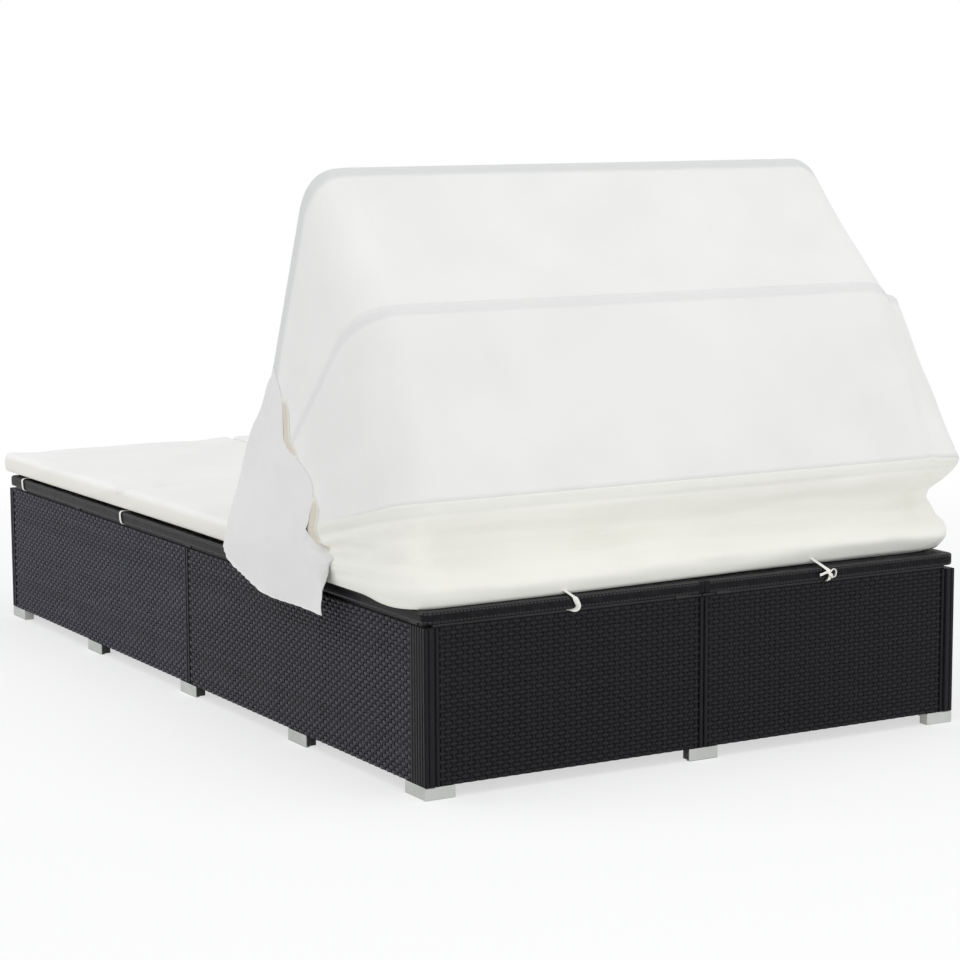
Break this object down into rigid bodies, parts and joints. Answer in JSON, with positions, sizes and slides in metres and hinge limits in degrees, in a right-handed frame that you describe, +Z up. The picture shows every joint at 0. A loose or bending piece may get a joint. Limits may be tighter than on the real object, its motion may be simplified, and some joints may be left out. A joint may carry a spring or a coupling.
{
  "type": "outdoor daybed with canopy",
  "caption": "Low woven double daybed on a panelled base with thin mattresses and a folding cloth hood on hinged bows at the head end.",
  "frame": {"origin": "on the floor, under the middle of the whole daybed", "axes": "+Z up, +Y towards the head end with the hood, +X to the right seen from above with the head end up"},
  "size_m": [1.2576, 2.0541, 1.077],
  "materials": {
    "wicker": "satin",
    "rail_wicker": "satin",
    "frame_paint": "satin",
    "foot_cap": "satin",
    "mattress_cloth": "matte",
    "hood_cloth": "matte",
    "tie_tape": "matte",
    "bow_tube": "satin",
    "hardware": "satin"
  },
  "bodies": {
    "root": {"weave_side_left_foot": "wicker", "weave_side_left_head": "wicker", "weave_side_right_foot": "wicker", "weave_side_right_head": "wicker", "weave_end_left_foot": "wicker", "weave_end_left_head": "wicker", "weave_end_right_foot": "wicker", "weave_end_right_head": "wicker", "frame_side_left_foot": "frame_paint", "frame_side_left_head": "frame_paint", "frame_side_right_foot": "frame_paint", "frame_side_right_head": "frame_paint", "frame_end_left_foot": "frame_paint", "frame_end_left_head": "frame_paint", "frame_end_right_foot": "frame_paint", "frame_end_right_head": "frame_paint", "beam_across": "frame_paint", "beam_along_foot": "frame_paint", "beam_along_head": "frame_paint", "foot_corner_left_foot": "foot_cap", "foot_corner_left_head": "foot_cap", "foot_corner_right_foot": "foot_cap", "foot_corner_right_head": "foot_cap", "foot_side_left_1": "foot_cap", "foot_side_left_2": "foot_cap", "foot_side_left_3": "foot_cap", "foot_side_right_1": "foot_cap", "foot_side_right_2": "foot_cap", "foot_side_right_3": "foot_cap", "foot_end_foot": "foot_cap", "foot_end_head": "foot_cap", "lying_frame_left": "rail_wicker", "lying_frame_right": "rail_wicker", "mattress_left": "mattress_cloth", "mattress_right": "mattress_cloth", "hood_bracket_left": "frame_paint", "hood_bracket_right": "frame_paint", "pivot_bolt_left": "hardware", "dome_nut_left": "hardware", "washer_inner_left": "hardware", "washer_outer_left": "hardware", "pivot_bolt_right": "hardware", "dome_nut_right": "hardware", "washer_inner_right": "hardware", "washer_outer_right": "hardware", "bow_hem": "bow_tube", "hood_low_tier": "hood_cloth", "hood_flap_left": "hood_cloth", "hood_flap_right": "hood_cloth", "tie_side_left_1": "tie_tape", "tie_side_left_2": "tie_tape", "tie_side_right_1": "tie_tape", "tie_side_right_2": "tie_tape", "tie_head_left": "tie_tape", "tie_head_right": "tie_tape"},
    "rear_bow": {"bow_rear": "bow_tube", "hood_rear_tier": "hood_cloth"},
    "middle_bow": {"bow_middle": "bow_tube", "hood_front_tier": "hood_cloth"},
    "front_bow": {"bow_front": "bow_tube"}
  },
  "joints": [
    {"name": "rear_bow_fold", "type": "hinge", "parent": "root", "child": "rear_bow", "pos_m": [0, 0.306, 0.35], "axis": [-1, 0, 0], "range_deg": [0, 8.9], "deforming": ["hood_low_tier", "hood_flap_left", "hood_flap_right"]},
    {"name": "middle_bow_fold", "type": "hinge", "parent": "rear_bow", "child": "middle_bow", "pos_m": [0, 0.306, 0.35], "axis": [-1, 0, 0], "range_deg": [0, 26], "deforming": ["hood_rear_tier"]},
    {"name": "front_bow_fold", "type": "hinge", "parent": "middle_bow", "child": "front_bow", "pos_m": [0, 0.306, 0.35], "axis": [-1, 0, 0], "range_deg": [0, 19.6], "deforming": ["hood_front_tier"]}
  ]
}
